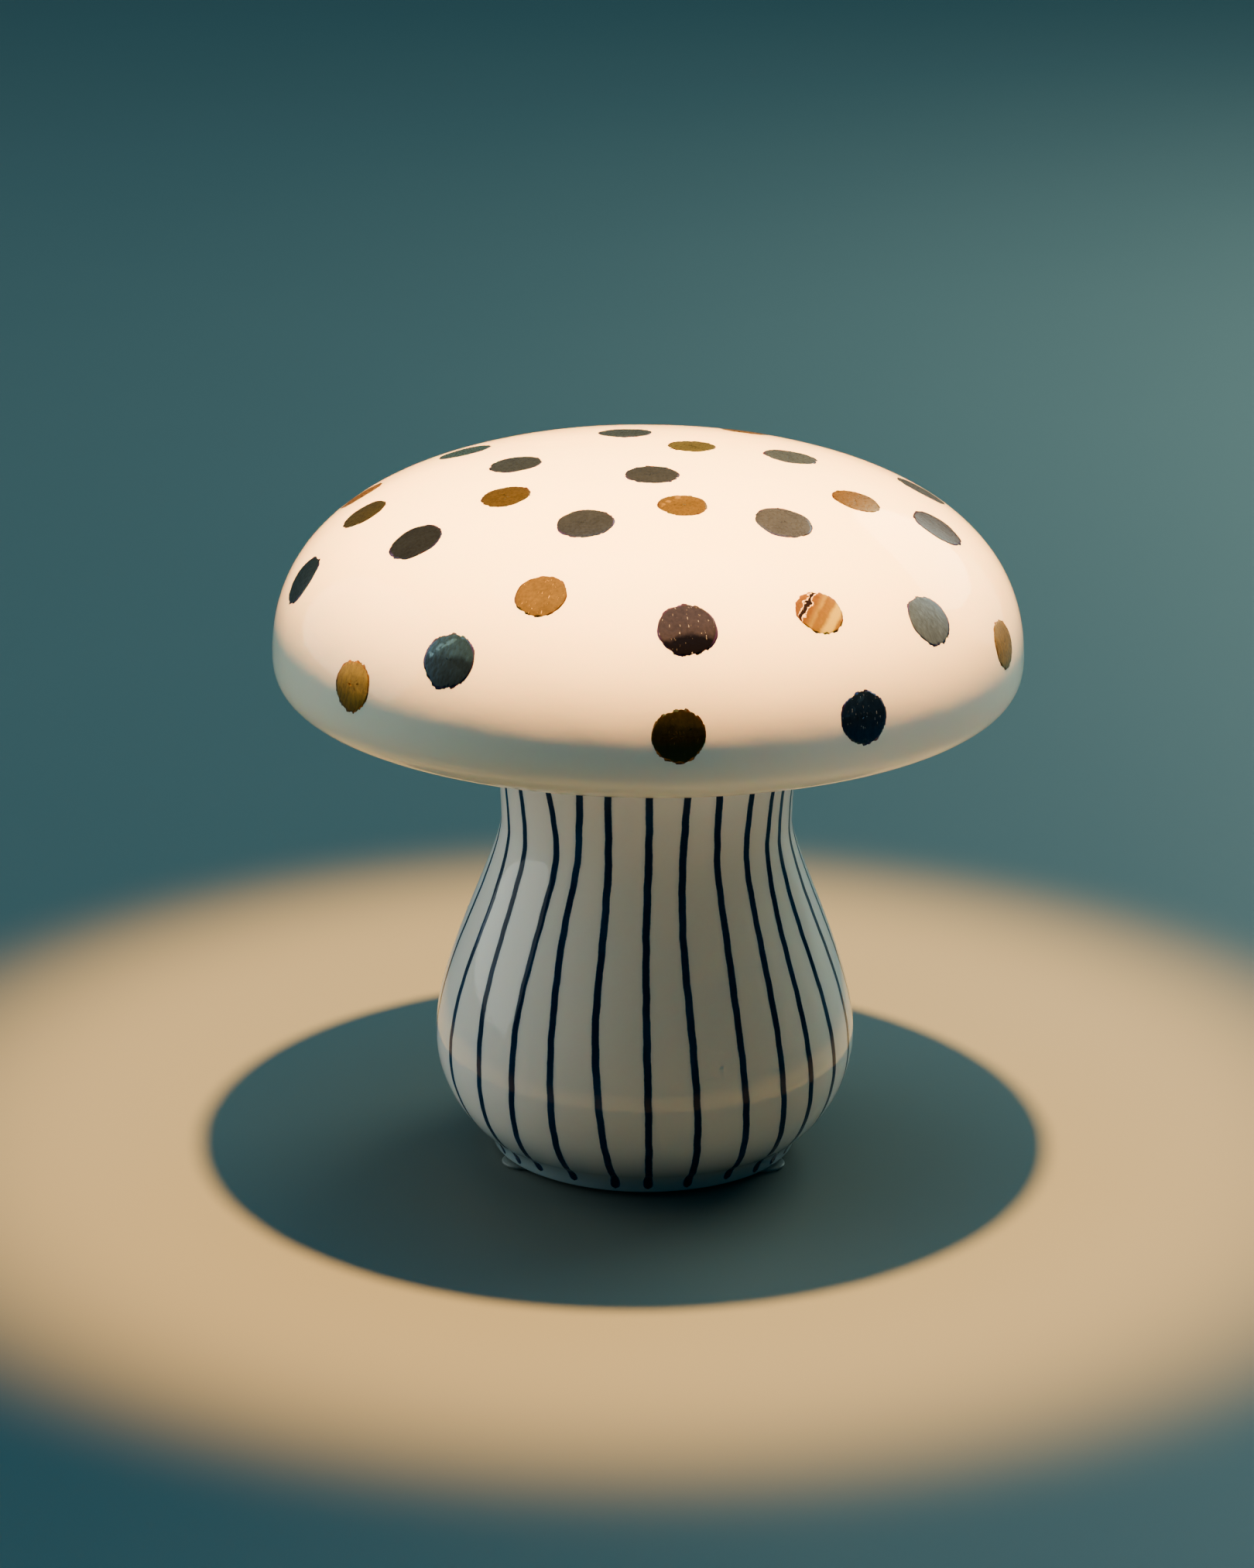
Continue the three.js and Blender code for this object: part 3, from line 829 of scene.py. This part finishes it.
def lustre(name, warm, cool, rim, spark):
    """Fired metal lustre, between its warm and its cool colour by the dot's tint and as bright as its tone,
    which
    also carry painted reflection and shade: with brush grain, a lower part that fades as painted shade,
    bright flecks along the brush's way as painted glints, a slanting band of sheen as a painted highlight,
    and a thin fired rim. A dot of full wear has slanting cream bands and a black crack with pale lips."""
    finish = Finish(name, Specular_IOR_Level=LUSTRE_SPECULAR)
    across, along, tone, tint, gloss, fade, glints, sheen, wear = map(
        finish.mark, ("across", "along", *Dot._fields[3:])
    )
    grain = finish.noise(1300, 3, (1, 1, 0.3))
    patches = finish.noise(230, 3)
    wrinkles = finish.noise(650, 3)
    cloud = patches - 0.5
    slant = 0.7 * (along - across)
    # Painted shade: a dot's lower part is darkened by its fade, as if it mirrored the dark below it.
    lower = (along + 0.8 * cloud + 1.05 * fade - 0.75).smooth(0.16, -0.16)
    level = tone * (0.2 + 0.6 * patches + grain) * (1 - fade * lower)
    # Painted highlight: a bright slanting band, as strong as the dot's sheen.
    band = abs(slant - SHEEN_PLACE + 0.4 * cloud).smooth(0.2, 0.05) * wrinkles.smooth(0.4, 0.6) * sheen
    # Painted glints: bright flecks along the brush's way, in the spark colour.
    brushed = finish.node("CombineXYZ", None, {0: across + 20 * tone, 1: 0.3 * along, 2: 7 * tint})
    streaks = finish.node("TexNoise", None, {"Vector": brushed, "Scale": 14, "Detail": 3})
    glint = streaks.smooth(0.65, 0.7) * glints
    colour = finish.mix(level.bigger(band), LUSTRE_DARK, finish.mix(tint, warm, cool))
    colour = finish.mix(glint, colour, spark)
    cracked = wear.smooth(0.85, 0.95)
    bands = (8 * slant + 3 * cloud).sine().smooth(-0.6, 0.9)
    colour = finish.mix((0.1 + 0.8 * bands) * cracked * slant.smooth(0.35, -0.3), colour, CREAM)
    crack = abs(slant - CRACK_PLACE + 0.5 * (wrinkles - 0.5))
    colour = finish.mix(crack.smooth(0.14, 0.1) * cracked, colour, CRACK_LIP)
    gap = crack.smooth(0.11, 0.07) * cracked
    colour = finish.mix(gap, colour, CRACK_DARK)
    place = finish.node("CombineXYZ", None, {0: across, 1: along})
    from_middle = finish.node("VectorMath", {"operation": "LENGTH"}, {0: place}, "Value")
    colour = finish.mix(from_middle.smooth(0.93, 1.0) * 0.75, colour, rim)
    roughness = 0.4 - 0.3 * gloss + 0.12 * (grain - 0.5) + 0.15 * glint
    metallic = (0.5 + 0.45 * gloss) * (1 - 0.8 * cracked)
    relief = finish.bump(grain + 0.8 * patches + glint - gap, LUSTRE_RELIEF)
    return finish.wear(Base_Color=colour, Metallic=metallic, Roughness=roughness, Normal=relief)


def soft_silicone(name):
    """Milky silicone of the seat ring, with a faint moulded grain."""
    finish = Finish(name, Subsurface_Weight=0.3, Subsurface_Scale=MILKY_DEPTH)
    cloud = finish.noise(90, 2)
    colour = finish.mix(cloud, MILKY, MILKY_CLOUD)
    relief = finish.bump(finish.noise(2500, 2), MILKY_RELIEF)
    return finish.wear(Base_Color=colour, Roughness=0.45 + 0.15 * cloud, Normal=relief)


def clear_silicone(name):
    """Clear silicone of the pads, a little cloudy."""
    finish = Finish(name, Transmission_Weight=0.8, IOR=CLEAR_IOR)
    cloud = finish.noise(300, 2)
    colour = finish.mix(cloud, CLEAR, CLEAR_CLOUD)
    return finish.wear(Base_Color=colour, Roughness=0.34 + 0.12 * cloud)


def plain_floor(name):
    """A plain floor of grey green, with the slightest cloud of tone."""
    finish = Finish(name)
    colour = finish.mix(finish.noise(3, 3), FLOOR_COLOUR, FLOOR_CLOUD)
    return finish.wear(Base_Color=colour, Roughness=0.55 + 0.05 * finish.noise(9, 2))


def dressed(piece, body, slot, material, *nodes):
    """Gives a piece its material and its body, and hides the CAD nodes that it stands for. Its slot is not
    used.
    """
    piece.data.materials.append(material)
    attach(piece, body)
    if nodes:
        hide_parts(*nodes)


def make_ornament():
    """The two glazed castings, the paint and the lustre on them, the seat ring and the foot pads."""
    side, dome = stem_side(), cap_side()
    stem = glazed_form("stem_body", stem_line(side), STEM_COLUMNS)
    cap = glazed_form("cap_dome", cap_line(dome), CAP_COLUMNS)
    dressed(stem, "stem", "stem_glaze", ceramic("stem_glaze", STEM_WARM, STEM_COOL, STEM_DEPTH), "stem")
    dressed(cap, "cap", "cap_glaze", ceramic("cap_glaze", CAP_WARM, CAP_COOL, CAP_DEPTH), "cap")
    lines = cobalt_lines("cobalt_lines", Outline(side), LINE_SEED)
    dressed(lines, "stem", "cobalt_line", cobalt("cobalt_line"))
    gold = lustre_dots("gold_dots", GOLD_DOTS, Outline(dome), GOLD_SEED)
    platinum = lustre_dots("platinum_dots", PLATINUM_DOTS, Outline(dome), PLATINUM_SEED)
    dressed(gold, "cap", "gold_lustre", lustre("gold_lustre", **GOLD))
    dressed(platinum, "cap", "platinum_lustre", lustre("platinum_lustre", **PLATINUM))
    dressed(seat_ring("seat_gasket"), "seat_ring", "seat_ring", soft_silicone("seat_ring"), "seat_ring")
    clear = clear_silicone("foot_pad")
    for number in (1, 2, 3):
        node = f"foot_pad_{number}"
        dressed(foot_pad(f"clear_pad_{number}", node), "stem", "foot_pad", clear, node)


def make_camera():
    """The photograph's camera: it stands in its place, turned aside, then down, then about its own view."""
    data = bpy.data.cameras.new("camera")
    data.sensor_fit = "VERTICAL"
    data.sensor_height = CAMERA_SENSOR
    data.lens = CAMERA_LENS
    data.clip_end = CAMERA_REACH
    camera = bpy.data.objects.new("camera", data)
    camera.matrix_world = (
        Matrix.Translation(CAMERA_PLACE)
        @ Matrix.Rotation(-CAMERA_ASIDE, 4, "Z")
        @ Matrix.Rotation(math.radians(90) - CAMERA_DOWN, 4, "X")
        @ Matrix.Rotation(CAMERA_ROLL, 4, "Z")
    )
    bpy.context.scene.collection.objects.link(camera)
    bpy.context.scene.camera = camera


def make_floor():
    """A wide square at the height that the pads stand on."""
    corners = [(x * FLOOR_REACH, y * FLOOR_REACH, 0) for x, y in ((-1, -1), (1, -1), (1, 1), (-1, 1))]
    mesh = bpy.data.meshes.new("floor")
    mesh.from_pydata(corners, [], [(0, 1, 2, 3)])
    mesh.materials.append(plain_floor("floor"))
    floor = bpy.data.objects.new("floor", mesh)
    bpy.context.scene.collection.objects.link(floor)


def lamp(kind, name, place, faces, power, colour, **settings):
    """A light at a place that faces a point, with its kind's own settings."""
    data = bpy.data.lights.new(name, kind)
    data.energy = power
    data.color = colour
    for setting, value in settings.items():
        setattr(data, setting, value)
    light = bpy.data.objects.new(name, data)
    light.location = place
    light.rotation_euler = (Vector(faces) - Vector(place)).to_track_quat("-Z", "Y").to_euler()
    bpy.context.scene.collection.objects.link(light)
    return light


def unmirrored_spot(name, radius, cone, blend, **aim):
    """A spot light that lights surfaces but isn't mirrored in them."""
    spot = lamp("SPOT", name, **aim, shadow_soft_size=radius, spot_size=cone, spot_blend=blend)
    spot.visible_glossy = False


def soft_light(name, size, **aim):
    """A round soft light, size across."""
    lamp("AREA", name, **aim, shape="DISK", size=size)


def make_light():
    """The spots, the soft lights and the sky."""
    for name, spot in SPOTS.items():
        unmirrored_spot(name, **spot)
    for name, light in SOFT_LIGHTS.items():
        soft_light(name, **light)
    world = bpy.data.worlds.new("studio")
    world.use_nodes = True
    sky = world.node_tree.nodes["Background"]
    sky.inputs["Color"].default_value = (*SKY_COLOUR, 1)
    sky.inputs["Strength"].default_value = SKY_STRENGTH
    bpy.context.scene.world = world


make_camera()
make_ornament()
make_floor()
make_light()
